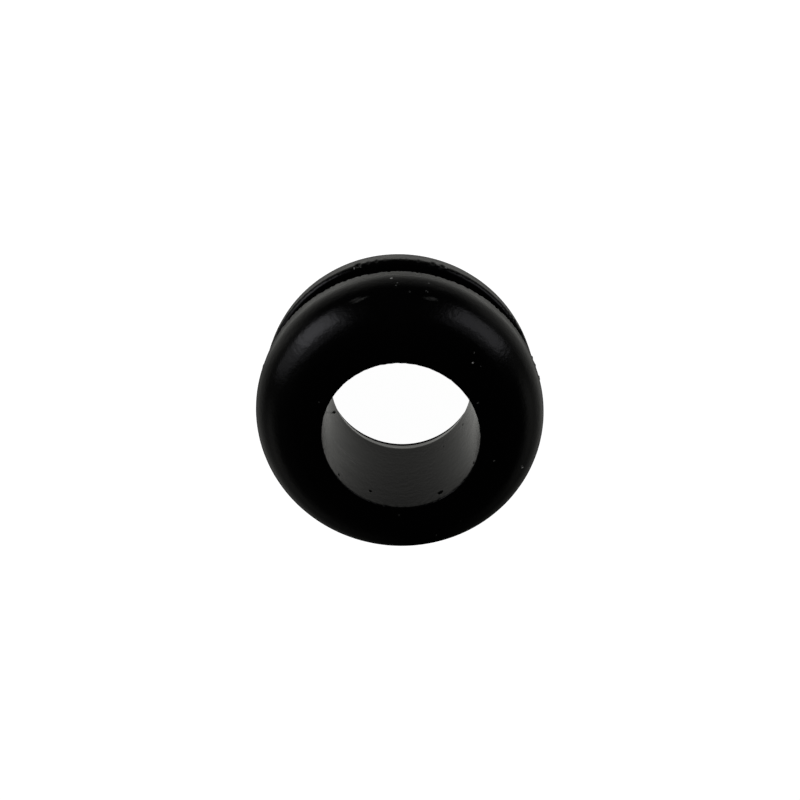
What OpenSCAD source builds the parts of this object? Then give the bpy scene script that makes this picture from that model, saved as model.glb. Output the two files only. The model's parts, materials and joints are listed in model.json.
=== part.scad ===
// Rubber grommet: one moulded ring that lines a round hole in a panel, so that a
// cable or hose can pass through without chafing.
// Two equal flanges hold the panel's edge in the groove between them. Each flange
// has a narrow straight rim, which turns into the groove wall with a small round, a
// large rounded shoulder and a flat end face. The bore is straight, with a slow
// lead-in taper at its lower end, where the mouth is rounded.
// The ring is drawn as its half section and turned about Z. It lies on its lower
// end face: the origin is the centre of that face, and +Z runs along the bore.

/* [Bore] */
// Diameter of the bore that the cable passes through
bore_d = 12.7; // [9:0.1:13.5]
// How far the lead-in taper widens the bore's radius at the lower end face
lead_in = 0.65; // [0.1:0.05:1]
// Height of the lead-in taper above the lower end face
lead_in_h = 2.4; // [1:0.1:4]
// Radius of the round between the lead-in taper and the lower end face
mouth_round = 0.25; // [0.1:0.05:0.4]
// Width of the broken edge round the upper mouth of the bore
mouth_break = 0.1; // [0.05:0.01:0.3]

/* [Flanges] */
// Outer diameter of both flanges
flange_d = 23.8; // [22:0.1:28]
// Thickness of each flange, from its groove wall to its end face
flange_t = 5.2; // [4.2:0.1:7]
// Radius of the rounded shoulder between the rim and the end face
shoulder_r = 3.8; // [1:0.05:5]
// Radius of the round between the rim and the groove wall
groove_edge_r = 0.5; // [0.1:0.05:0.8]

/* [Panel groove] */
// Width of the groove, for a panel about 3 mm or 1/8 inch thick
groove_w = 3; // [1.2:0.1:6]
// Diameter of the neck at the bottom of the groove, for a hole of about 11/16 inch
neck_d = 17.5; // [16:0.1:20]
// Radius of the fillets where the neck meets the groove walls
root_r = 0.3; // [0.1:0.05:0.5]

/* [Hidden] */
$fn = 180;

bore_r = bore_d / 2;
lead_in_r = bore_r + lead_in;
rim_r = flange_d / 2;
neck_r = neck_d / 2;
total_h = 2 * flange_t + groove_w;
// The rounds leave at least this much flat groove wall, this width of flat end face
// round the rounded mouth, and this height of straight rim
least_wall = 0.2;
least_face = 0.4;
least_rim = 0.2;
groove_edge = min(groove_edge_r, rim_r - neck_r - root_r - least_wall);
widest_shoulder = rim_r - lead_in_r - mouth_round - least_face;
tallest_shoulder = flange_t - groove_edge - least_rim;
shoulder = min(shoulder_r, widest_shoulder, tallest_shoulder);
// Outer radius of the flat end face, and height from groove wall to shoulder
face_r = rim_r - shoulder;
rim_h = flange_t - shoulder;
// How far the bore's cut runs on past both end faces
overrun = 1;

// The sliver between a square corner at the origin and a round of radius r in it:
// taken off an outer corner it rounds it, and added to an inner corner it fillets it
module corner_sliver(r) {
    difference() {
        square(r);
        translate([r, r]) circle(r);
    }
}

// Half section of one flange, with its groove wall at y = 0 and its end face upward
module flange_section() {
    // Core under the flat end face
    square([face_r, flange_t]);
    // Straight rim, rounded into the groove wall
    difference() {
        square([rim_r, rim_h]);
        translate([rim_r, 0]) mirror([1, 0]) corner_sliver(groove_edge);
    }
    // Rounded shoulder
    translate([face_r, rim_h]) intersection() {
        circle(shoulder);
        square(shoulder);
    }
    // Fillet between this flange's groove wall and the neck
    translate([neck_r, 0]) mirror([0, 1]) corner_sliver(root_r);
}

// Half section of everything that the bore takes away: the rounded lower mouth, the
// lead-in taper, the straight bore, and the broken edge of the upper mouth
module bore_section() {
    taper = atan(lead_in / lead_in_h);
    // The round's centre, and the point where the round runs into the taper
    centre = [lead_in_r + mouth_round * (1 - sin(taper)) / cos(taper), mouth_round];
    meets_taper = centre - mouth_round * [cos(taper), sin(taper)];
    difference() {
        polygon([[lead_in_r, 0], meets_taper, centre, [centre[0], 0]]);
        translate(centre) circle(mouth_round);
    }
    upper_mouth_r = bore_r + mouth_break;
    polygon([
        [0, -overrun],
        [lead_in_r, -overrun],
        [lead_in_r, 0],
        [bore_r, lead_in_h],
        [bore_r, total_h - mouth_break],
        [upper_mouth_r, total_h],
        [upper_mouth_r, total_h + overrun],
        [0, total_h + overrun],
    ]);
}

// The whole moulding, turned from its half section
module grommet() {
    color([0.09, 0.09, 0.095]) rotate_extrude() difference() {
        union() {
            // Neck between the flanges, run on into their rims
            translate([0, flange_t - rim_h]) square([neck_r, groove_w + 2 * rim_h]);
            // Upper flange
            translate([0, flange_t + groove_w]) flange_section();
            // Lower flange, the same section turned over
            translate([0, flange_t]) mirror([0, 1]) flange_section();
        }
        bore_section();
    }
}

grommet();
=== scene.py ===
"""A moulded rubber grommet, dressed for a studio picture.

The ring lies on its lower flange on a pale floor, with the lead-in end of its bore
downward. All lengths are in metres, and the ring's axis is the Z axis.
"""

import json
import math

import bmesh
import bpy
from mathutils import Matrix, Vector, noise


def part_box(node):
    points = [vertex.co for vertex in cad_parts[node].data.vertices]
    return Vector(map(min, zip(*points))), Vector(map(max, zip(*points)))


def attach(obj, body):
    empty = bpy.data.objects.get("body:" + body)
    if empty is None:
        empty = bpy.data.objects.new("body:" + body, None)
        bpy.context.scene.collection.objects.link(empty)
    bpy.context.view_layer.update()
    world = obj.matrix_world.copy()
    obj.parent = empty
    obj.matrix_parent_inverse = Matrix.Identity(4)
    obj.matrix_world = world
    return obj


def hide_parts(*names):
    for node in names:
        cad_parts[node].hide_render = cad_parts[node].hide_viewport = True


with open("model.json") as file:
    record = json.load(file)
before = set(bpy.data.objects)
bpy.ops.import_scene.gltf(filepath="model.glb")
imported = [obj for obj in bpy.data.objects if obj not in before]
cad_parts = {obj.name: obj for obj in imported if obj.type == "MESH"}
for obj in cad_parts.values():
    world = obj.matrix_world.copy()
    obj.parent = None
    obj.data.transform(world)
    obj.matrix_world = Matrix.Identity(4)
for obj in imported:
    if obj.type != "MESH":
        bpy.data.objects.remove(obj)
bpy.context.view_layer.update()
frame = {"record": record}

bl_info = {
    "name": "Rubber Grommet",
    "version": (1, 0, 0),
    "blender": (4, 5, 0),
    "location": "3D View > Sidebar > Grommet",
    "description": "Models a moulded rubber grommet with its worn edges, finish and studio",
    "category": "Add Mesh",
}

MM = 0.001

# ---------------------------------------------------------------------------
# Sizes that come from the packed model
# ---------------------------------------------------------------------------

NODE_LOW, NODE_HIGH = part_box("grommet")
MOUNTS = {mount["name"]: mount for mount in frame["record"]["mounts"]}
BORE = MOUNTS["bore"]
FLANGE_RADIUS = (NODE_HIGH.x - NODE_LOW.x) / 2
HEIGHT = NODE_HIGH.z - NODE_LOW.z
BORE_RADIUS = BORE["dims"]["r_mm"] * MM
STRAIGHT_BORE = BORE["dims"]["length_mm"] * MM
LEAD_IN_HEIGHT = BORE["pos_m"][2] - STRAIGHT_BORE / 2
MOUTH_BREAK = HEIGHT - STRAIGHT_BORE - LEAD_IN_HEIGHT
GROOVE_MIDDLE = MOUNTS["panel_groove"]["pos_m"][2]

# ---------------------------------------------------------------------------
# Marks of moulding and dust, and streaks of painted highlight, each one listed.
# Angles are in degrees round the axis from +X, and lengths are in millimetres.
# ---------------------------------------------------------------------------

# Chips on the lower flange's edge beside the groove: angle, half width, depth
LOWER_EDGE_CHIPS = (
    (100.2, 0.17, 0.20),
    (95.9, 0.08, 0.06),
    (92.7, 0.10, 0.09),
    (76.2, 0.10, 0.09),
    (70.5, 0.15, 0.11),
    (66.7, 0.15, 0.11),
    (212.0, 0.20, 0.12),
    (287.0, 0.12, 0.10),
)
# Bits of flash that stand out of the lower flange's rim: angle, half width, reach
LOWER_EDGE_FLASH = (
    (31.3, 0.10, 0.05),
    (29.1, 0.12, 0.05),
    (23.5, 0.16, 0.07),
    (156.0, 0.14, 0.06),
    (301.0, 0.15, 0.06),
)
# Bits of flash that stand out of the upper flange's edge: angle, half width, reach
UPPER_EDGE_FLASH = (
    (18.3, 0.12, 0.09),
    (16.5, 0.10, 0.05),
    (15.1, 0.12, 0.09),
    (9.7, 0.10, 0.13),
    (8.6, 0.09, 0.14),
    (153.0, 0.14, 0.08),
    (155.4, 0.12, 0.07),
    (238.0, 0.15, 0.07),
)
# Pinholes in the wall of the bore: angle, height, half width, depth. A depth below 0 makes a
# nib, which stands out of the wall.
BORE_PINHOLES = (
    (294.0, 12.35, 0.19, 0.34),
    (190.4, 4.10, 0.10, -0.20),
    (208.0, 12.75, 0.10, 0.20),
    (238.2, 11.70, 0.12, 0.14),
    (331.9, 13.05, 0.09, 0.12),
    (324.6, 4.10, 0.11, 0.03),
    (300.6, 4.50, 0.10, 0.02),
    (75.0, 6.20, 0.12, 0.10),
)
# Dust on the upper shoulder: angle, climb in degrees from the rim, size, strength
SHOULDER_DUST = (
    (86.5, 8.5, 0.11, 0.5),
    (84.2, 18.5, 0.09, 0.14),
    (84.8, 23.5, 0.09, 0.12),
    (72.8, 13.5, 0.09, 0.2),
    (79.8, 32.5, 0.06, 0.09),
    (73.4, 28.0, 0.07, 0.13),
    (73.0, 29.6, 0.06, 0.13),
    (68.8, 5.0, 0.08, 0.1),
    (45.5, 74.5, 0.06, 0.2),
    (43.0, 84.5, 0.10, 0.6),
    (38.5, 81.5, 0.07, 0.08),
    (336.8, 51.5, 0.10, 0.9),
    (337.5, 54.0, 0.07, 0.5),
    (296.0, 73.0, 0.06, 0.08),
    (280.8, 64.5, 0.09, 0.12),
)
# Dust on the upper end face: angle, radius, size, strength
FACE_DUST = (
    (21.2, 6.78, 0.08, 0.1),
    (146.8, 7.08, 0.07, 0.08),
    (339.2, 7.74, 0.08, 0.2),
    (261.2, 7.04, 0.12, 0.04),
)
# Crumbs left in the chips of the lower flange's edge: angle, radius, height, size, strength
GROOVE_DUST = (
    (101.7, 11.74, 5.06, 0.09, 0.5),
    (99.0, 11.70, 5.06, 0.08, 0.15),
    (98.6, 11.62, 5.10, 0.07, 0.12),
    (68.6, 11.88, 4.88, 0.13, 0.14),
    (67.9, 11.88, 4.84, 0.10, 0.16),
    (65.2, 11.86, 4.92, 0.13, 0.22),
    (64.0, 11.88, 4.86, 0.12, 0.16),
)
# Streaks of painted highlight on the upper shoulder, lighter patches that stand in for the
# lamps'
# reflection there: angle, climb, half length and half width in degrees of arc, slant in
# degrees, strength
PAINTED_HIGHLIGHT_STREAKS = (
    (98.8, 37.4, 4.6, 2.2, 10.0, 0.62),
    (100.6, 35.4, 3.4, 2.8, 7.0, 0.4),
    (70.6, 37.4, 2.6, 3.2, -4.0, 0.55),
    (72.8, 38.4, 2.4, 2.8, -4.0, 0.36),
)


# ---------------------------------------------------------------------------
# What a user would change
# ---------------------------------------------------------------------------


def length(name, description, default, least=0):
    """A length property, in metres."""
    return bpy.props.FloatProperty(
        name=name, description=description, default=default, min=least, unit="LENGTH",
        precision=5,
    )


def factor(name, description, default):
    """A plain number from 0 to 1."""
    return bpy.props.FloatProperty(
        name=name, description=description, default=default, min=0, max=1, precision=4
    )


def angle(name, description, degrees):
    """An angle property, given in degrees."""
    return bpy.props.FloatProperty(
        name=name, description=description, default=math.radians(degrees), subtype="ANGLE"
    )


def colour(name, description, default):
    """A linear colour property."""
    return bpy.props.FloatVectorProperty(
        name=name, description=description, default=default, min=0, max=1, subtype="COLOR"
    )


class GrommetSection(bpy.types.PropertyGroup):
    """Sizes of the ring"""

    flange_radius: length("Flange radius", "Outer radius of both flanges", FLANGE_RADIUS)
    height: length("Height", "Height over both end faces", HEIGHT)
    groove_middle: length("Groove middle", "Height of the groove's middle", GROOVE_MIDDLE)
    groove_width: length("Groove width", "Width of the panel groove", 3.0 * MM)
    neck_radius: length("Neck radius", "Radius of the neck in the groove", 8.75 * MM)
    root_radius: length("Root fillet", "Fillet between neck and groove walls", 0.3 * MM)
    shoulder_radius: length("Shoulder radius", "Round from the rim to the face", 3.8 * MM)
    groove_edge: length("Groove edge", "Round from lower rim to groove wall", 0.4 * MM)
    upper_edge: length("Upper edge", "Round from upper rim to groove wall", 0.25 * MM)
    bore_radius: length("Bore radius", "Radius of the straight bore", BORE_RADIUS)
    mouth_break: length("Upper mouth", "Broken edge of the bore's upper mouth", MOUTH_BREAK)
    lead_in: length("Lead-in", "How far the lead-in widens the bore's radius", 0.65 * MM)
    lead_in_height: length("Lead-in height", "Height of the lead-in taper", LEAD_IN_HEIGHT)
    mouth_round: length("Lower mouth", "Round between lead-in and lower face", 0.25 * MM)
    # Height of the glossless band at the lower mouth, which paints the shade of the contact
    # shadow there
    shade_band_height: length("Trim height", "How far up the lead-in is trimmed", 1.0 * MM)
    around: bpy.props.IntProperty(
        name="Around", description="Facets round the ring", default=900, min=24, max=900
    )


class GrommetWear(bpy.types.PropertyGroup):
    """Rough edges and the pressed mouth"""

    ragged_depth: length("Ragged depth", "Depth of the upper flange's parting line", 0.065 * MM)
    lower_depth: length("Lower depth", "Depth of the lower flange's parting line", 0.028 * MM)
    ragged_step: length("Ragged step", "Length of one notch in those lines", 0.22 * MM)
    ragged_reach: length("Ragged reach", "How far from the line it fades out", 0.15 * MM)
    mouth_depth: length("Mouth depth", "Depth of the upper mouth's notches", 0.03 * MM)
    mouth_squeeze: length("Mouth squeeze", "How far the upper mouth is pressed in", 0.08 * MM)
    squeeze_turn: angle("Squeeze turn", "Where round the ring the mouth is pressed in", 27)


class GrommetFinish(bpy.types.PropertyGroup):
    """Finish of the rubber"""

    rubber: colour("Rubber", "Colour of the rubber", (0.0003, 0.0003, 0.0003))
    dust: colour("Dust", "Colour of the dust", (0.20, 0.20, 0.19))
    # This colour serves both the bore's scuffs and the shoulder's painted highlight streaks
    scuff_and_highlight: colour("Scuff", "Colour of scuffs and handling streaks", (0.03, 0.03, 0.028))
    roughness: factor("Roughness", "Roughness of the moulded skin", 0.21)
    unevenness: factor("Unevenness", "How far the roughness wanders", 0.08)
    edge_dullness: factor("Edge dullness", "Roughness added where it is seen aslant", 0.4)
    grain_height: length("Grain height", "Height of the fine moulded grain", 0.004 * MM)
    mottle_height: length("Mottle height", "Height of the small uneven patches", 0.016 * MM)
    ripple_height: length("Ripple height", "Height of the slow ripples", 0.016 * MM)


class GrommetStudio(bpy.types.PropertyGroup):
    """Floor, lamps, surroundings and camera"""

    floor_size: length("Floor size", "Side of the square floor", 2.0)
    floor_tone: factor("Floor tone", "How pale the floor is where it lights the ring", 0.8)
    backdrop: factor("Backdrop", "How white the floor shows to the camera", 0.98)
    shade: factor("Shade", "How strongly the ring's shadow shows", 0.10)
    sky: factor("Sky", "Level of the plain light from all round", 0.5)
    glow_colour: colour("Glow colour", "Tint of the surroundings in the gloss", (1, 1, 0.955))
    lamp_colour: colour("Lamp colour", "Colour of the lamps", (0.94, 0.94, 1))
    left_glow: factor("Left glow", "Paleness of the left side in the gloss", 0.5)
    side_glow: factor("Side glow", "Paleness of the upper sides in the gloss", 0.11)
    bore_glow: factor("Bore glow", "Paleness of the floor under the bore in the gloss", 0.97)
    fade_start: length("Fade start", "Where the floor in front starts to fade", 0.016)
    fade_end: length("Fade end", "Where the floor in front has faded out", 0.042)
    foot_shade: factor("Foot shade", "How dim the floor beside the ring is", 0.70)
    foot_shade_reach: length("Foot shade reach", "How far out that shade goes", 0.010)
    camera_lens: bpy.props.FloatProperty(
        name="Lens", description="Focal length on a 36 mm sensor", default=37.85, min=1
    )
    camera_distance: length("Distance", "From camera to mouth, along the view", 67.05 * MM)
    camera_tilt: angle("Tilt", "Angle between the bore and the view", 33.07)
    camera_roll: angle("Roll", "Roll of the camera from upright", 6.0)
    mouth_across: length("Mouth across", "How far right of the lens axis", -4.67 * MM, -1)
    mouth_up: length("Mouth up", "How far above the lens axis", 8.01 * MM, -1)
    shift_x: bpy.props.FloatProperty(name="Shift X", description="Lens shift", default=-0.075)
    shift_y: bpy.props.FloatProperty(name="Shift Y", description="Lens shift", default=0.175)


# ---------------------------------------------------------------------------
# The ring's half section, as points (radius, height)
# ---------------------------------------------------------------------------


# How strongly the points of a straight stretch gather towards its ends, up to 1
GATHERING = 0.85


def arc(centre, radius, start, end, steps):
    """Points of an arc from start to end, in degrees from the outward direction."""
    turns = [math.radians(start + (end - start) * i / steps) for i in range(steps + 1)]
    return [(centre[0] + radius * math.cos(t), centre[1] + radius * math.sin(t)) for t in turns]


def straight(start, end, steps):
    """Points of a straight stretch, gathered towards both of its ends."""
    points = []
    for i in range(steps + 1):
        t = i / steps
        share = t - math.sin(2 * math.pi * t) / (2 * math.pi) * GATHERING
        points.append(tuple(a + (b - a) * share for a, b in zip(start, end)))
    return points


def half_section(size):
    """The section's stretches in order round the loop, each as (name, points)."""
    rim, neck, bore, top = size.flange_radius, size.neck_radius, size.bore_radius, size.height
    shoulder, edge, root = size.shoulder_radius, size.groove_edge, size.root_radius
    sharp = size.upper_edge
    low_wall = size.groove_middle - size.groove_width / 2
    high_wall = size.groove_middle + size.groove_width / 2
    face = rim - shoulder
    lead_in, lead_height = bore + size.lead_in, size.lead_in_height
    taper = math.atan2(size.lead_in, lead_height)
    mouth = size.mouth_round
    mouth_centre = (lead_in + mouth * (1 - math.sin(taper)) / math.cos(taper), mouth)
    mouth_end = 180 + math.degrees(taper)
    lower_mouth = arc(mouth_centre, mouth, 270, mouth_end, 5)
    foot = lower_mouth[-1]
    # Where the glossless band of painted shade starts up the lead-in
    share = (size.shade_band_height - foot[1]) / (lead_height - foot[1])
    shade_band_top = (foot[0] + (bore - foot[0]) * share, size.shade_band_height)
    upper = size.mouth_break
    return [
        ("lower_face", straight((mouth_centre[0], 0), (face, 0), 2)),
        ("lower_shoulder", arc((face, shoulder), shoulder, -90, 0, 12)),
        ("lower_rim", straight((rim, shoulder), (rim, low_wall - edge), 4)),
        ("lower_edge", arc((rim - edge, low_wall - edge), edge, 0, 90, 10)),
        ("lower_wall", straight((rim - edge, low_wall), (neck + root, low_wall), 2)),
        ("lower_root", arc((neck + root, low_wall + root), root, 270, 180, 3)),
        ("neck", straight((neck, low_wall + root), (neck, high_wall - root), 1)),
        ("upper_root", arc((neck + root, high_wall - root), root, 180, 90, 3)),
        ("upper_wall", straight((neck + root, high_wall), (rim - sharp, high_wall), 2)),
        ("upper_edge", arc((rim - sharp, high_wall + sharp), sharp, -90, 0, 8)),
        ("upper_rim", straight((rim, high_wall + sharp), (rim, top - shoulder), 5)),
        ("upper_shoulder", arc((face, top - shoulder), shoulder, 0, 90, 18)),
        ("upper_face", straight((face, top), (bore + upper, top), 3)),
        ("upper_mouth", arc((bore + upper, top - upper), upper, 90, 180, 4)),
        ("bore", straight((bore, top - upper), (bore, lead_height), 16)),
        ("lead_in", straight((bore, lead_height), shade_band_top, 3)),
        ("trimmed_lead_in", straight(shade_band_top, foot, 2)),
        ("lower_mouth", lower_mouth[::-1]),
    ]


# ---------------------------------------------------------------------------
# The ring's mesh
# ---------------------------------------------------------------------------

# How far round the groove's edge from the rim the ragged line lies, in degrees
PARTING_TURN = 20
# A notch's even depth, what a coarse noise and a fine one add to it, and how fast the coarse
# one changes beside the fine one
NOTCH_EVEN, NOTCH_COARSE, NOTCH_FINE = 0.35, 1.0, 1.5
COARSE_PACE = 0.45
# Each edge has notches of its own
LOWER_NOTCHES, UPPER_NOTCHES, MOUTH_NOTCHES = 0, 9, 18
# How far a notch cuts into the rim and away from the groove, as shares of its depth
CUT_IN, CUT_BACK = 0.6, 0.8
# The same for the upper mouth: outward and down, and how much longer its notches are
MOUTH_CUT_OUT, MOUTH_CUT_DOWN = 0.7, 0.3
MOUTH_STEP = 1.5
# Pinholes: how far off edges can be split, how many times, and down to what length
SPLIT_RANGE = 1.2 * MM
SPLIT_TIMES = 5
SPLIT_LENGTH = 0.035 * MM
# How far the finely split patch reaches and how wide the hollow is, in half widths
PATCH_REACH, HOLLOW_WIDTH = 2.2, 0.75
# How uneven the hollow's outline is, and how fast that changes
UNEVEN_OUTLINE, UNEVEN_STEP = 0.25, 0.2 * MM
# How far out from the bore's radius a point still belongs to its wall
WALL_DEPTH = 0.05 * MM


def around(radius, turn, height):
    """The point at that radius, angle in radians and height."""
    return Vector((radius * math.cos(turn), radius * math.sin(turn), height))


def hump(distance, half_width):
    """1 at no distance, falling smoothly to 0 at twice the half width."""
    share = max(0.0, 1 - (distance / (2 * half_width)) ** 2)
    return share * share


def arc_gap(turn, degrees, radius):
    """Distance along the rim between an angle in radians and one in degrees."""
    gap = (turn - math.radians(degrees) + math.pi) % (2 * math.pi) - math.pi
    return abs(gap) * radius


def notches(turn, radius, step, layer):
    """Uneven notches round an edge, from 0 to about 1."""
    place = around(radius / step, turn, layer)
    coarse = noise.noise(place * COARSE_PACE)
    fine = noise.noise(place)
    return max(0.0, NOTCH_EVEN + NOTCH_COARSE * coarse + NOTCH_FINE * fine)


def parting_line(size, side, edge):
    """The ragged line on the round edge of one flange, as (radius, height). side is -1 for
    the lower flange and 1 for the upper one."""
    turn = math.radians(PARTING_TURN)
    wall = size.groove_middle + side * size.groove_width / 2
    radius = size.flange_radius - edge * (1 - math.cos(turn))
    return radius, wall + side * edge * (1 - math.sin(turn))


def flaws(turn, radius, marks):
    """How deep or far out the listed marks reach at an angle in radians."""
    return sum(
        reach * MM * hump(arc_gap(turn, degrees, radius), half_width * MM)
        for degrees, half_width, reach in marks
    )


def build_mesh(size, wear):
    """Turns the half section round Z, presses its upper mouth in and roughens its edges.
    Faces keep their stretch's index."""
    stretches = half_section(size)
    loop = [(point, i) for i, (name, points) in enumerate(stretches) for point in points[:-1]]
    low_line = parting_line(size, -1, size.groove_edge)
    high_line = parting_line(size, 1, size.upper_edge)
    mouth_edge = (size.bore_radius, size.height)
    turns = [2 * math.pi * i / size.around for i in range(size.around)]
    reach, step = wear.ragged_reach, wear.ragged_step

    mesh = bmesh.new()
    band = mesh.faces.layers.int.new("stretch")
    rings = []
    for (radius, height), _ in loop:
        share = (height - size.lead_in_height) / (size.height - size.lead_in_height)
        on_bore = radius < size.bore_radius + 2 * size.mouth_break
        squeeze = wear.mouth_squeeze * max(0.0, share) if on_bore else 0.0
        near_low = hump(math.dist((radius, height), low_line), reach)
        near_high = hump(math.dist((radius, height), high_line), reach)
        near_mouth = hump(math.dist((radius, height), mouth_edge), reach)
        ring = []
        for turn in turns:
            out, up = radius - squeeze * math.cos(turn - wear.squeeze_turn) ** 2, height
            if near_low:
                cut = wear.lower_depth * notches(turn, radius, step, LOWER_NOTCHES)
                cut += flaws(turn, radius, LOWER_EDGE_CHIPS)
                out += near_low * (flaws(turn, radius, LOWER_EDGE_FLASH) - cut * CUT_IN)
                up -= near_low * cut * CUT_BACK
            if near_high:
                cut = wear.ragged_depth * notches(turn, radius, step, UPPER_NOTCHES)
                out += near_high * (flaws(turn, radius, UPPER_EDGE_FLASH) - cut * CUT_IN)
                up += near_high * cut * CUT_BACK
            if near_mouth:
                long = MOUTH_STEP * step
                cut = wear.mouth_depth * notches(turn, radius, long, MOUTH_NOTCHES)
                out += near_mouth * cut * MOUTH_CUT_OUT
                up -= near_mouth * cut * MOUTH_CUT_DOWN
            ring.append(mesh.verts.new(around(out, turn, up)))
        rings.append(ring)

    for k, (_, index) in enumerate(loop):
        here, there = rings[k], rings[(k + 1) % len(rings)]
        for i in range(size.around):
            j = (i + 1) % size.around
            face = mesh.faces.new((here[i], here[j], there[j], there[i]))
            face.smooth = True
            face[band] = index
    return mesh, band, [name for name, _ in stretches]


def gap_to_edge(edge, centre):
    """Distance from a point to the nearest place on an edge."""
    start, end = edge.verts[0].co, edge.verts[1].co
    along = end - start
    share = max(0.0, min(1.0, (centre - start).dot(along) / along.length_squared))
    return (start + along * share - centre).length


def sink_pinholes(mesh, size):
    """Splits the bore's faces finely round each pinhole and sinks it into the wall. A nib is
    made the same way and drawn out of it."""
    limit = (size.bore_radius + WALL_DEPTH) ** 2
    for degrees, height, half_width, depth in BORE_PINHOLES:
        centre = around(size.bore_radius, math.radians(degrees), height * MM)
        reach = PATCH_REACH * half_width * MM
        hollow = half_width * MM * HOLLOW_WIDTH
        near = [
            edge
            for edge in mesh.edges
            if (edge.verts[0].co - centre).length < SPLIT_RANGE
            and all(vert.co.xy.length_squared < limit for vert in edge.verts)
        ]
        for _ in range(SPLIT_TIMES):
            edges = [
                edge
                for edge in near
                if edge.calc_length() > SPLIT_LENGTH and gap_to_edge(edge, centre) < reach
            ]
            if not edges:
                break
            made = bmesh.ops.subdivide_edges(mesh, edges=edges, cuts=1, use_grid_fill=True)
            parts = {part for part in made["geom"] if isinstance(part, bmesh.types.BMEdge)}
            near = list(parts.union(edge for edge in near if edge.is_valid))
        # Faces left with many corners are split about their middles, so the mesh stays
        # closed when it is cut into triangles
        faces = [face for face in mesh.faces if len(face.verts) > 4]
        middles = bmesh.ops.poke(mesh, faces=faces)["verts"]
        for vert in {vert for edge in near for vert in edge.verts}.union(middles):
            gap = (vert.co - centre).length
            if gap < reach:
                turn = math.atan2(vert.co.y, vert.co.x)
                uneven = 1 + UNEVEN_OUTLINE * noise.noise(vert.co / UNEVEN_STEP)
                vert.co += around(depth * MM * hump(gap * uneven, hollow), turn, 0)


def grommet_object(size, wear):
    """The finished ring as a new object."""
    mesh, band, names = build_mesh(size, wear)
    sink_pinholes(mesh, size)
    # The lead-in's lowest part and the lower mouth get the glossless material, painted shade
    # for the contact shadow under the mouth
    trimmed = (names.index("trimmed_lead_in"), names.index("lower_mouth"))
    for face in mesh.faces:
        face.material_index = 1 if face[band] in trimmed else 0
    bmesh.ops.recalc_face_normals(mesh, faces=mesh.faces)
    data = bpy.data.meshes.new("moulded_ring")
    mesh.to_mesh(data)
    mesh.free()
    ring = bpy.data.objects.new("moulded_ring", data)
    bpy.context.scene.collection.objects.link(ring)
    return ring


# ---------------------------------------------------------------------------
# Shader nodes
# ---------------------------------------------------------------------------

ORIGIN = (0, 0, 0)
# Vector operations that give a number
MEASURES = ("LENGTH", "DISTANCE", "DOT_PRODUCT")


def add(tree, kind, inputs=None, **settings):
    """Adds a node. inputs gives a socket's link or its value, by name or number."""
    node = tree.nodes.new(kind)
    for key, value in settings.items():
        setattr(node, key, value)
    for key, value in (inputs or {}).items():
        if isinstance(value, bpy.types.NodeSocket):
            tree.links.new(value, node.inputs[key])
        else:
            node.inputs[key].default_value = value
    return node


def maths(tree, operation, *values):
    """A Math node's output, from links or numbers."""
    node = add(tree, "ShaderNodeMath", dict(enumerate(values)), operation=operation)
    return node.outputs[0]


def product(tree, first, *others):
    """Several values multiplied."""
    for other in others:
        first = maths(tree, "MULTIPLY", first, other)
    return first


def vectors(tree, operation, *values):
    """A Vector Math node's output, from links or vectors."""
    node = add(tree, "ShaderNodeVectorMath", dict(enumerate(values)), operation=operation)
    return node.outputs["Value" if operation in MEASURES else "Vector"]


def scaled(tree, vector, scale):
    """A vector times a number."""
    inputs = {0: vector, "Scale": scale}
    return add(tree, "ShaderNodeVectorMath", inputs, operation="SCALE").outputs["Vector"]


def ramp(tree, value, low, high):
    """0 below low and 1 above high, with a smooth climb between them."""
    inputs = {"Value": value, "From Min": low, "From Max": high}
    node = add(tree, "ShaderNodeMapRange", inputs, interpolation_type="SMOOTHSTEP")
    return node.outputs["Result"]


def blend(tree, share, low, high):
    """The number low where share is 0, and high where it is 1."""
    inputs = {"Factor": share, 2: low, 3: high}
    return add(tree, "ShaderNodeMix", inputs, data_type="FLOAT").outputs[0]


def tinge(tree, share, low, high):
    """The colour low where share is 0, and high where it is 1."""
    inputs = {"Factor": share, "A": low, "B": high}
    return add(tree, "ShaderNodeMix", inputs, data_type="RGBA").outputs["Result"]


def noise_texture(tree, place, scale, detail, roughness=0.5):
    """A noise texture's outputs. The first is a number from 0 to 1."""
    inputs = {"Vector": place, "Scale": scale, "Detail": detail, "Roughness": roughness}
    return add(tree, "ShaderNodeTexNoise", inputs).outputs


def from_axis(tree, place):
    """A place's coordinates, its part across the axis, and its distance from the axis."""
    split = add(tree, "ShaderNodeSeparateXYZ", {0: place}).outputs
    flat = add(tree, "ShaderNodeCombineXYZ", {0: split["X"], 1: split["Y"]}).outputs[0]
    return split, flat, vectors(tree, "LENGTH", flat)


# ---------------------------------------------------------------------------
# Node groups
# ---------------------------------------------------------------------------

# Each pair says where an effect starts and where it is full
# Share of a speck's size
SPECK_FADE = (1.1, 0.2)
# The scuffs' noise: how fast it changes round and up the bore, how far it slants, its level
SCUFF_ROUND, SCUFF_UP, SCUFF_SLANT = 2.0, 2.4, 5.0
SCUFF_NOISE = (0.44, 0.72)
# How squarely a place faces the scuffs' bearing, and how far up or down it lies, as a share
# of their spread
SCUFF_FACING = (0.87, 0.97)
SCUFF_HEIGHT = (1.0, 0.4)


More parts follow.
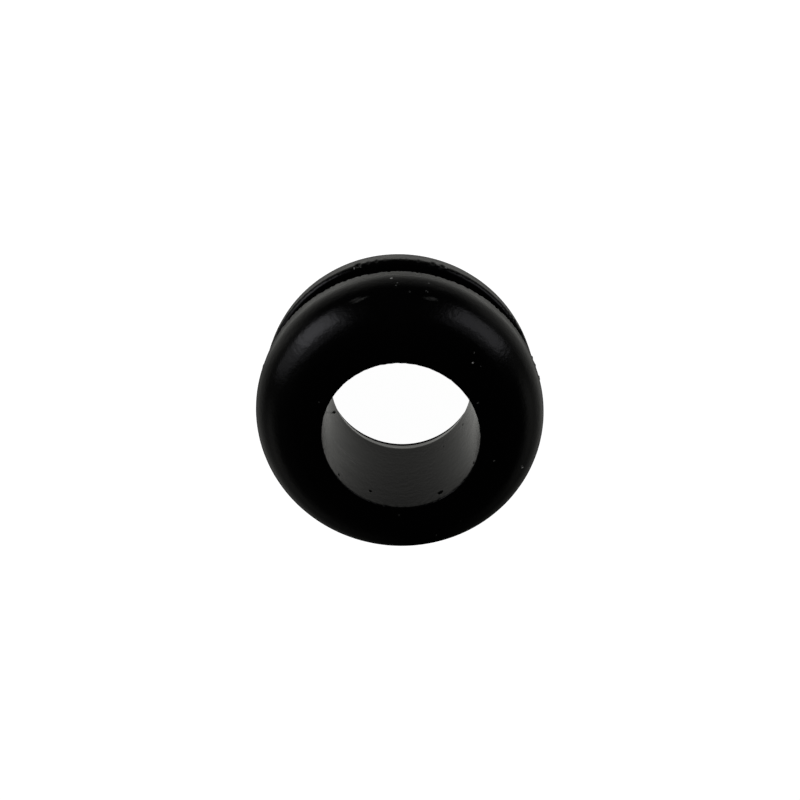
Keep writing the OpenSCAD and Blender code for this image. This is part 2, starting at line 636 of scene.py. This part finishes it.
def group(name, inputs, outputs):
    """A new shader node group: its tree, the values that it is given, and the sockets for
    what it puts out, which is all numbers. inputs gives each value's default."""
    tree = bpy.data.node_groups.new(name, "ShaderNodeTree")
    for label, default in inputs.items():
        kind = "NodeSocketFloat" if isinstance(default, float) else "NodeSocketVector"
        socket = tree.interface.new_socket(label, in_out="INPUT", socket_type=kind)
        socket.default_value = default
    for label in outputs:
        tree.interface.new_socket(label, in_out="OUTPUT", socket_type="NodeSocketFloat")
    given, made = tree.nodes.new("NodeGroupInput"), tree.nodes.new("NodeGroupOutput")
    return tree, given.outputs, made.inputs


def use(tree, node_group, inputs):
    """Places a node group in a material and gives its outputs."""
    return add(tree, "ShaderNodeGroup", inputs, node_tree=node_group).outputs


def speck_group():
    """One small spot at a place on the surface, given in millimetres."""
    tree, given, made = group(
        "speck", {"Place": ORIGIN, "Centre": ORIGIN, "Size": 0.1, "Strength": 1.0}, ["Mask"]
    )
    gap = vectors(tree, "DISTANCE", given["Place"], given["Centre"])
    spot = ramp(tree, maths(tree, "DIVIDE", gap, given["Size"]), *SPECK_FADE)
    tree.links.new(product(tree, spot, given["Strength"]), made["Mask"])
    return tree


def grain_group():
    """The moulded skin: a fine grain, slow ripples that run round the ring, a small mottle,
    and wider patches where the skin is duller or shinier."""
    tree, given, made = group(
        "moulded_grain",
        {
            "Place": ORIGIN,
            "Grain per mm": 7.0,
            "Ripples per mm": 0.9,
            "Ripples round": 3.2,
            "Mottle per mm": 2.6,
            "Patches per mm": 0.55,
        },
        ["Grain", "Ripple", "Mottle", "Patch"],
    )
    place = given["Place"]
    split, flat, radius = from_axis(tree, place)
    along = scaled(tree, vectors(tree, "NORMALIZE", flat), given["Ripples round"])
    climb = maths(tree, "SUBTRACT", split["Z"], radius)
    across = add(tree, "ShaderNodeCombineXYZ", {2: climb}).outputs[0]
    rippled = vectors(tree, "ADD", along, across)
    textures = {
        "Grain": noise_texture(tree, place, given["Grain per mm"], detail=3.0),
        "Ripple": noise_texture(tree, rippled, given["Ripples per mm"], 5.0, roughness=0.6),
        "Mottle": noise_texture(tree, place, given["Mottle per mm"], detail=2.0),
        "Patch": noise_texture(tree, place, given["Patches per mm"], 5.0, roughness=0.6),
    }
    for label, texture in textures.items():
        tree.links.new(texture[0], made[label])
    return tree


def scuff_group():
    """Faint scuffs that run round one side of the bore, where a cable was turned in it."""
    tree, given, made = group(
        "bore_scuffs",
        {
            "Place": ORIGIN,
            "Bearing": (-0.92, -0.39, 0),
            "Middle height": 8.2,
            "Spread": 2.2,
        },
        ["Mask"],
    )
    split, flat, radius = from_axis(tree, given["Place"])
    turn = maths(tree, "ARCTAN2", split["Y"], split["X"])
    along = product(tree, turn, SCUFF_ROUND)
    up = maths(tree, "MULTIPLY_ADD", split["Z"], SCUFF_UP, product(tree, turn, SCUFF_SLANT))
    place = add(tree, "ShaderNodeCombineXYZ", {0: along, 1: up}).outputs[0]
    streaks = noise_texture(tree, place, 1.0, detail=3.0, roughness=0.6)[0]
    facing = vectors(tree, "DOT_PRODUCT", flat, given["Bearing"])
    off = maths(tree, "SUBTRACT", split["Z"], given["Middle height"])
    share = maths(tree, "DIVIDE", maths(tree, "ABSOLUTE", off), given["Spread"])
    mask = product(
        tree,
        ramp(tree, streaks, *SCUFF_NOISE),
        ramp(tree, maths(tree, "DIVIDE", facing, radius), *SCUFF_FACING),
        ramp(tree, share, *SCUFF_HEIGHT),
    )
    tree.links.new(mask, made["Mask"])
    return tree


def painted_highlight_group():
    """One soft stripe of painted highlight on the surface, given by its middle in millimetres
    and its two directions, each divided by half of its length that way."""
    tree, given, made = group(
        "streak",
        {
            "Place": ORIGIN,
            "Middle": ORIGIN,
            "Along": (1, 0, 0),
            "Across": (0, 1, 0),
            "Strength": 1.0,
        },
        ["Mask"],
    )
    gap = vectors(tree, "SUBTRACT", given["Place"], given["Middle"])
    squares = []
    for way in ("Along", "Across"):
        part = vectors(tree, "DOT_PRODUCT", gap, given[way])
        squares.append(maths(tree, "POWER", maths(tree, "ABSOLUTE", part), 2.0))
    share = maths(tree, "SQRT", maths(tree, "ADD", *squares))
    mask = product(tree, ramp(tree, share, 1.0, 0.0), given["Strength"])
    tree.links.new(mask, made["Mask"])
    return tree


# ---------------------------------------------------------------------------
# The rubber
# ---------------------------------------------------------------------------

# Where the outer skin starts and is full, in millimetres past the bore's radius
OUTER_SKIN = (0.15, 0.6)
# The wobble that makes specks and streaks uneven, and how far it reaches in millimetres
WOBBLE_PER_MM, WOBBLE_REACH = 9.0, 0.25
# How far a pinhole is dulled, in its half widths
PIT_DULLNESS = 1.3
# Where the skin starts to be seen aslant and is fully so, and the bore's share of that
ASLANT = (0.65, 1.0)
BORE_ASLANT = 0.1
SKIN_SPECULAR = 0.034
# The glossless band at the lower mouth, painted shade for the contact shadow there: its
# roughness, what the grain adds to it, and no gloss
SHADE_BAND_ROUGHNESS, SHADE_BAND_GRAIN, SHADE_BAND_SPECULAR = 0.75, 0.2, 0.0


def on_shoulder(size, climb):
    """Radius and height, in millimetres, at a climb in radians up the upper shoulder."""
    shoulder = size.shoulder_radius / MM
    face = (size.flange_radius - size.shoulder_radius) / MM
    radius = face + shoulder * math.cos(climb)
    return radius, size.height / MM - shoulder + shoulder * math.sin(climb)


def surface_specks(size):
    """Centres of all the dust specks in millimetres, each with its size and strength."""
    rows = [
        (degrees, *on_shoulder(size, math.radians(climb)), across, strength)
        for degrees, climb, across, strength in SHOULDER_DUST
    ]
    top = size.height / MM
    rows += [(degrees, radius, top, *rest) for degrees, radius, *rest in FACE_DUST]
    rows += GROOVE_DUST
    for degrees, radius, height, across, strength in rows:
        yield around(radius, math.radians(degrees), height), across, strength


def surface_pits(size):
    """Centres of the pinholes in millimetres, each with its size and strength."""
    for degrees, height, half_width, _ in BORE_PINHOLES:
        centre = around(size.bore_radius / MM, math.radians(degrees), height)
        yield centre, half_width * PIT_DULLNESS, 1.0


def painted_highlight_streaks(size):
    """The shoulder's streaks of painted highlight: each one's middle in millimetres, its two
    directions divided by its half lengths, and its strength."""
    shoulder = size.shoulder_radius / MM
    for degrees, climb, run, width, slant, strength in PAINTED_HIGHLIGHT_STREAKS:
        turn, rise, lean = math.radians(degrees), math.radians(climb), math.radians(slant)
        radius, height = on_shoulder(size, rise)
        sideways = Vector((-math.sin(turn), math.cos(turn), 0))
        upward = around(-math.sin(rise), turn, math.cos(rise))
        along = sideways * math.cos(lean) + upward * math.sin(lean)
        across = upward * math.cos(lean) - sideways * math.sin(lean)
        along /= radius * math.radians(run)
        across /= shoulder * math.radians(width)
        yield around(radius, turn, height), along, across, strength


def new_material(name):
    """A material with no nodes yet, and its tree."""
    material = bpy.data.materials.new(name)
    material.use_nodes = True
    material.node_tree.nodes.clear()
    return material, material.node_tree


def place_in_mm(tree):
    """The place on the surface in the ring's own coordinates, in millimetres."""
    return scaled(tree, add(tree, "ShaderNodeTexCoord").outputs["Object"], 1 / MM)


def strongest(tree, masks):
    """The highest of several masks at each place."""
    most = 0.0
    for mask in masks:
        most = maths(tree, "MAXIMUM", mask, most)
    return most


def shade(tree, colour, rough, specular, height):
    """Gives a material its shader, with the bump of a height in metres."""
    bump = add(tree, "ShaderNodeBump", {"Height": height, "Distance": 1.0, "Strength": 1.0})
    inputs = {
        "Base Color": colour,
        "Roughness": rough,
        "Specular IOR Level": specular,
        "Normal": bump.outputs[0],
    }
    shader = add(tree, "ShaderNodeBsdfPrincipled", inputs)
    add(tree, "ShaderNodeOutputMaterial", {"Surface": shader.outputs[0]})


def rubber_material(size, finish, groups):
    """Black moulded rubber with a low sheen, light dust, streaks of painted highlight and
    scuffs.
    """
    material, tree = new_material("black_rubber")
    place = place_in_mm(tree)
    grain = use(tree, groups["grain"], {"Place": place})
    scuffs = use(tree, groups["scuffs"], {"Place": place})["Mask"]
    wall = size.bore_radius / MM
    outside = ramp(tree, from_axis(tree, place)[2], *(wall + past for past in OUTER_SKIN))
    in_bore = maths(tree, "SUBTRACT", 1.0, outside)

    wobble = noise_texture(tree, place, WOBBLE_PER_MM, detail=1.0)["Color"]
    centred = vectors(tree, "SUBTRACT", wobble, (0.5, 0.5, 0.5))
    uneven = vectors(tree, "ADD", place, scaled(tree, centred, WOBBLE_REACH))

    def marks(kind, labels, rows):
        """One mask for each row."""
        for row in rows:
            inputs = {"Place": uneven, **dict(zip(labels, row))}
            yield use(tree, groups[kind], inputs)["Mask"]

    spot = ("Centre", "Size", "Strength")
    stripe = ("Middle", "Along", "Across", "Strength")
    dust = strongest(tree, marks("speck", spot, surface_specks(size)))
    pits = strongest(tree, marks("speck", spot, surface_pits(size)))
    highlight_streaks = strongest(tree, marks("streak", stripe, painted_highlight_streaks(size)))

    turned = product(tree, scuffs, in_bore)
    # worn holds the bore's scuffs and the shoulder's streaks of painted highlight
    worn = maths(tree, "MAXIMUM", turned, product(tree, highlight_streaks, grain["Grain"]))
    scuffed_and_highlit = tinge(tree, worn, (*finish.rubber, 1), (*finish.scuff_and_highlight, 1))
    dusted = tinge(tree, dust, scuffed_and_highlit, (*finish.dust, 1))

    wander = maths(tree, "SUBTRACT", grain["Patch"], 0.5)
    rough = maths(tree, "MULTIPLY_ADD", wander, finish.unevenness * 2, finish.roughness)
    facing = add(tree, "ShaderNodeLayerWeight", {"Blend": 0.5}).outputs["Facing"]
    aslant = ramp(tree, facing, *ASLANT)
    graze = product(tree, aslant, blend(tree, outside, BORE_ASLANT, 1.0))
    rough = maths(tree, "MULTIPLY_ADD", graze, finish.edge_dullness, rough)
    rough = maths(tree, "MAXIMUM", rough, pits)
    fine = product(tree, grain["Grain"], finish.grain_height)
    slow = product(tree, grain["Ripple"], finish.ripple_height)
    height = maths(tree, "MULTIPLY_ADD", grain["Mottle"], finish.mottle_height, slow)
    shade(tree, dusted, rough, SKIN_SPECULAR, maths(tree, "ADD", fine, height))
    return material


def mouth_shade_material(finish, groups):
    """The lower mouth's band: the same rubber without any sheen, so that it shows dark as
    painted shade for the contact shadow under the mouth.
    """
    material, tree = new_material("trimmed_rubber")
    grain = use(tree, groups["grain"], {"Place": place_in_mm(tree)})["Grain"]
    rough = maths(tree, "MULTIPLY_ADD", grain, SHADE_BAND_GRAIN, SHADE_BAND_ROUGHNESS)
    height = product(tree, grain, finish.grain_height)
    shade(tree, (*finish.rubber, 1), rough, SHADE_BAND_SPECULAR, height)
    return material


# ---------------------------------------------------------------------------
# The studio
# ---------------------------------------------------------------------------

# The surroundings in the gloss. Each pair says where a change starts and where it is full:
# AHEAD and ACROSS are shares of the distance towards +Y and +X, AWAY is the distance from the
# axis, and CLIMB is the upward share of a direction. A LEVEL is what is left there.
NOT_LEFT_ACROSS = (-0.4, 0.4)
NOT_LEFT_AHEAD = (0.25, 0.5)
# The floor in front, which fades out, and the floor that isn't in shade beside the ring
FRONT_AHEAD = (0.55, 0.85)
CLEAR_AHEAD = (-0.2, 0.4)
# The floor just in front of the ring, and the floor far off in front and beside it
NEAR_AHEAD = (0.65, 0.95)
NEAR_ACROSS = (-0.5, 0.1)
NEAR_AWAY = (FLANGE_RADIUS * 1.05, FLANGE_RADIUS * 1.25)
NEAR_LEVEL = 0.55
FAR_AWAY = (0.035, 0.07)
FAR_AHEAD = (-0.3, 0.1)
FAR_LEVEL = 0.35
# The floor inside the ring: where it takes over, its outer part, and two bands at its left
INSIDE_AWAY = (FLANGE_RADIUS * 0.75, FLANGE_RADIUS * 0.62)
OUTER_AWAY = (BORE_RADIUS * 0.5, BORE_RADIUS * 0.9)
OUTER_LEVEL = 0.87
LEFT_ACROSS = (-0.2, -0.5)
LEFT_AWAY = (BORE_RADIUS * 1.08, BORE_RADIUS)
LEFT_MIDDLE_AWAY = (BORE_RADIUS * 0.77, BORE_RADIUS * 0.87)
LEFT_LEVEL = 0.7
# The sky: its right side, its low part behind and in front, and where it fades out
SKY_RIGHT_ACROSS = (-0.2, 0.4)
SKY_RIGHT_LEVEL = 0.3
SKY_LOW_AHEAD = (-0.3, 0.1)
SKY_LOW_LEVELS = (2.0, 0.4)
SKY_HIGH_CLIMB = (0.15, 0.5)
SKY_END_CLIMB = (0.95, 0.6)
SKY_END_AHEAD = (0.8, 0.4)

SENSOR_WIDTH = 36
CLIP_NEAR, CLIP_FAR = 0.001, 10
# What the lamps point at
LAMP_TARGET = Vector((0, 0, HEIGHT * 0.7))
# Soft lamps: name, bearing, elevation, distance, width, height, radiance
LAMPS = (
    ("key_lamp", -44, 17, 0.10, 0.044, 0.053, 9.3),
    ("key_skirt", -48, 30, 0.10, 0.056, 0.062, 2.4),
    ("side_lamp", -57, 16, 0.10, 0.066, 0.056, 2.9),
    ("fill_lamp", 55, 17, 0.10, 0.058, 0.054, 6.2),
    ("fill_skirt", 55, 30, 0.10, 0.062, 0.060, 1.4),
)


def gloss_rays(tree):
    """1 for what the ring's gloss or a clear piece shows, and 0 for the rest."""
    path = add(tree, "ShaderNodeLightPath").outputs
    return maths(tree, "MAXIMUM", path["Is Glossy Ray"], path["Is Transmission Ray"])


def seen_rays(tree):
    """1 for what the camera sees, straight or in gloss or glass, and 0 for the rest."""
    camera = add(tree, "ShaderNodeLightPath").outputs["Is Camera Ray"]
    return maths(tree, "MAXIMUM", camera, gloss_rays(tree))


def glow_tint(tree, studio):
    """White, apart from the slightly warm colour that the gloss shows."""
    return tinge(tree, gloss_rays(tree), (1, 1, 1, 1), (*studio.glow_colour, 1))


def around_ring(tree, place, studio):
    """How pale the gloss shows the surroundings at a place: bright at the right, dimmer at
    the left and dark behind. Also how far towards +Y and +X it lies, as shares of its
    distance, and that distance."""
    split, _, away = from_axis(tree, place)
    ahead = maths(tree, "DIVIDE", split["Y"], away)
    across = maths(tree, "DIVIDE", split["X"], away)
    not_behind = maths(tree, "ADD", 1.0, ahead)
    right, front = ramp(tree, across, *NOT_LEFT_ACROSS), ramp(tree, ahead, *NOT_LEFT_AHEAD)
    most = blend(tree, maths(tree, "MAXIMUM", right, front), studio.left_glow, 1.0)
    return maths(tree, "MINIMUM", not_behind, most), ahead, across, away


def floor_gloss(tree, studio):
    """How pale the gloss shows the floor outside and inside the ring."""
    place = add(tree, "ShaderNodeNewGeometry").outputs["Position"]
    pale, ahead, across, away = around_ring(tree, place, studio)

    def band(value, limits):
        return ramp(tree, value, *limits)

    fade = (studio.fade_start, studio.fade_end)
    foot = (FLANGE_RADIUS, FLANGE_RADIUS + studio.foot_shade_reach)
    front = product(tree, band(away, fade), band(ahead, FRONT_AHEAD))
    clear = maths(tree, "MAXIMUM", band(away, foot), band(ahead, CLEAR_AHEAD))
    near = product(
        tree, band(ahead, NEAR_AHEAD), band(across, NEAR_ACROSS), band(away, NEAR_AWAY)
    )
    far = product(tree, band(away, FAR_AWAY), band(ahead, FAR_AHEAD))
    outside = product(
        tree,
        blend(tree, clear, 1 - studio.foot_shade, 1.0),
        pale,
        maths(tree, "SUBTRACT", 1.0, front),
        blend(tree, near, 1.0, NEAR_LEVEL),
        blend(tree, far, 1.0, FAR_LEVEL),
    )
    left = product(
        tree, band(across, LEFT_ACROSS), band(away, LEFT_AWAY), band(away, LEFT_MIDDLE_AWAY)
    )
    inside = product(
        tree,
        blend(tree, band(away, OUTER_AWAY), 1.0, OUTER_LEVEL),
        blend(tree, left, 1.0, LEFT_LEVEL),
        studio.bore_glow,
    )
    return blend(tree, band(away, INSIDE_AWAY), outside, inside)


def floor_material(studio):
    """Pale floor that reads white, takes a soft shadow and fades out in the gloss."""
    material, tree = new_material("pale_floor")
    glow = blend(tree, gloss_rays(tree), studio.backdrop, floor_gloss(tree, studio))
    seen = seen_rays(tree)
    tone = blend(tree, seen, studio.floor_tone, studio.shade)
    tone = product(tree, tone, maths(tree, "SUBTRACT", 1.0, gloss_rays(tree)))
    grey = add(tree, "ShaderNodeCombineColor", {0: tone, 1: tone, 2: tone}).outputs[0]
    diffuse = add(tree, "ShaderNodeBsdfDiffuse", {"Color": grey}).outputs[0]
    inputs = {"Color": glow_tint(tree, studio), "Strength": product(tree, seen, glow)}
    light = add(tree, "ShaderNodeEmission", inputs).outputs[0]
    both = add(tree, "ShaderNodeAddShader", {0: diffuse, 1: light}).outputs[0]
    add(tree, "ShaderNodeOutputMaterial", {"Surface": both})
    return material


def studio_world(studio):
    """White to the camera, plain light on the ring, and pale in its gloss only low down at
    the sides."""
    world = bpy.data.worlds.new("studio_world")
    world.use_nodes = True
    tree = world.node_tree
    tree.nodes.clear()
    toward = add(tree, "ShaderNodeTexCoord").outputs["Generated"]
    pale, ahead, across, _ = around_ring(tree, toward, studio)
    climb = add(tree, "ShaderNodeSeparateXYZ", {0: toward}).outputs["Z"]
    right = studio.side_glow * SKY_RIGHT_LEVEL
    side = blend(tree, ramp(tree, across, *SKY_RIGHT_ACROSS), studio.side_glow, right)
    high = maths(tree, "MINIMUM", pale, side)
    in_front = ramp(tree, ahead, *SKY_LOW_AHEAD)
    low = product(tree, pale, blend(tree, in_front, *SKY_LOW_LEVELS))
    gloss = product(
        tree,
        ramp(tree, climb, *SKY_END_CLIMB),
        ramp(tree, ahead, *SKY_END_AHEAD),
        blend(tree, ramp(tree, climb, *SKY_HIGH_CLIMB), low, high),
    )
    path = add(tree, "ShaderNodeLightPath").outputs
    level = blend(tree, gloss_rays(tree), studio.sky, gloss)
    level = blend(tree, path["Is Camera Ray"], level, 1.0)
    inputs = {"Color": glow_tint(tree, studio), "Strength": level}
    sky = add(tree, "ShaderNodeBackground", inputs).outputs[0]
    add(tree, "ShaderNodeOutputWorld", {"Surface": sky})
    return world


def link_stage(name, data):
    """Adds an object of the studio."""
    thing = bpy.data.objects.new(name, data)
    bpy.context.scene.collection.objects.link(thing)
    return thing


def sheet_mesh(name, side):
    """A flat square about its own centre."""
    data = bpy.data.meshes.new(name)
    half = side / 2
    corners = [(-half, -half, 0), (half, -half, 0), (half, half, 0), (-half, half, 0)]
    data.from_pydata(corners, [], [(0, 1, 2, 3)])
    return data


def from_ring(bearing, elevation, distance):
    """A point seen from the ring at that bearing from +Y towards +X, in degrees."""
    across, up = math.radians(bearing), math.radians(elevation)
    level = distance * math.cos(up)
    return Vector((level * math.sin(across), level * math.cos(across), distance * math.sin(up)))


def build_studio(studio):
    """Floor, world and lamps."""
    floor = link_stage("floor", sheet_mesh("floor", studio.floor_size))
    floor.data.materials.append(floor_material(studio))

    bpy.context.scene.world = studio_world(studio)
    for name, bearing, elevation, distance, width, height, radiance in LAMPS:
        lamp = bpy.data.lights.new(name, "AREA")
        lamp.shape = "RECTANGLE"
        lamp.size, lamp.size_y = width, height
        lamp.energy = math.pi * width * height * radiance
        lamp.color = studio.lamp_colour
        thing = link_stage(name, lamp)
        thing.visible_camera = False
        thing.location = from_ring(bearing, elevation, distance) + LAMP_TARGET
        toward = LAMP_TARGET - thing.location
        thing.rotation_euler = toward.to_track_quat("-Z", "Y").to_euler()


def build_camera(studio):
    """A camera that looks down through the bore, placed by where it sees the upper mouth."""
    tilt, roll = studio.camera_tilt, studio.camera_roll
    forward = Vector((0, -math.sin(tilt), -math.cos(tilt)))
    level_up = Vector((0, math.cos(tilt), -math.sin(tilt)))
    level_right = Vector((1, 0, 0))
    right = level_right * math.cos(roll) - level_up * math.sin(roll)
    up = level_right * math.sin(roll) + level_up * math.cos(roll)
    mouth = Vector((0, 0, HEIGHT))
    place = mouth - forward * studio.camera_distance
    place -= right * studio.mouth_across + up * studio.mouth_up
    data = bpy.data.cameras.new("camera")
    data.sensor_width = SENSOR_WIDTH
    data.lens = studio.camera_lens
    data.shift_x, data.shift_y = studio.shift_x, studio.shift_y
    data.clip_start, data.clip_end = CLIP_NEAR, CLIP_FAR
    camera = link_stage("camera", data)
    turn = Matrix((right, up, -forward)).transposed().to_4x4()
    camera.matrix_world = Matrix.Translation(place) @ turn
    bpy.context.scene.camera = camera


# ---------------------------------------------------------------------------
# Operators and panel
# ---------------------------------------------------------------------------


class GROMMET_OT_ring(bpy.types.Operator):
    """Models the moulded ring and gives it its rubber"""

    bl_idname = "grommet.ring"
    bl_label = "Build Ring"

    def execute(self, context):
        size, wear = context.scene.grommet_section, context.scene.grommet_wear
        finish = context.scene.grommet_finish
        groups = {
            "speck": speck_group(),
            "streak": painted_highlight_group(),
            "grain": grain_group(),
            "scuffs": scuff_group(),
        }
        ring = grommet_object(size, wear)
        ring.data.materials.append(rubber_material(size, finish, groups))
        ring.data.materials.append(mouth_shade_material(finish, groups))
        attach(ring, "root")
        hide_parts("grommet")
        return {"FINISHED"}


class GROMMET_OT_studio(bpy.types.Operator):
    """Sets the floor, the lamps, the surroundings and the camera"""

    bl_idname = "grommet.studio"
    bl_label = "Build Studio"

    def execute(self, context):
        build_studio(context.scene.grommet_studio)
        build_camera(context.scene.grommet_studio)
        context.scene.view_settings.view_transform = "Standard"
        return {"FINISHED"}


class GROMMET_PT_sidebar(bpy.types.Panel):
    """Lists the grommet's steps and settings"""

    bl_label = "Grommet"
    bl_idname = "GROMMET_PT_sidebar"
    bl_space_type = "VIEW_3D"
    bl_region_type = "UI"
    bl_category = "Grommet"

    def draw(self, context):
        layout = self.layout
        for operator in (GROMMET_OT_ring, GROMMET_OT_studio):
            layout.operator(operator.bl_idname)
        for label, settings in SETTINGS.items():
            box = layout.box()
            box.label(text=settings.__doc__)
            values = getattr(context.scene, label)
            for name in settings.__annotations__:
                box.prop(values, name)


SETTINGS = {
    "grommet_section": GrommetSection,
    "grommet_wear": GrommetWear,
    "grommet_finish": GrommetFinish,
    "grommet_studio": GrommetStudio,
}
CLASSES = (*SETTINGS.values(), GROMMET_OT_ring, GROMMET_OT_studio, GROMMET_PT_sidebar)


def register():
    """Registers the classes and puts the settings on the scene."""
    for cls in CLASSES:
        bpy.utils.register_class(cls)
    for label, settings in SETTINGS.items():
        setattr(bpy.types.Scene, label, bpy.props.PointerProperty(type=settings))


def unregister():
    """Takes the settings and the classes away again."""
    for label in SETTINGS:
        delattr(bpy.types.Scene, label)
    for cls in reversed(CLASSES):
        bpy.utils.unregister_class(cls)


def main():
    """Registers the classes and builds everything in order."""
    register()
    bpy.ops.grommet.ring()
    bpy.ops.grommet.studio()


if __name__ == "__main__":
    main()
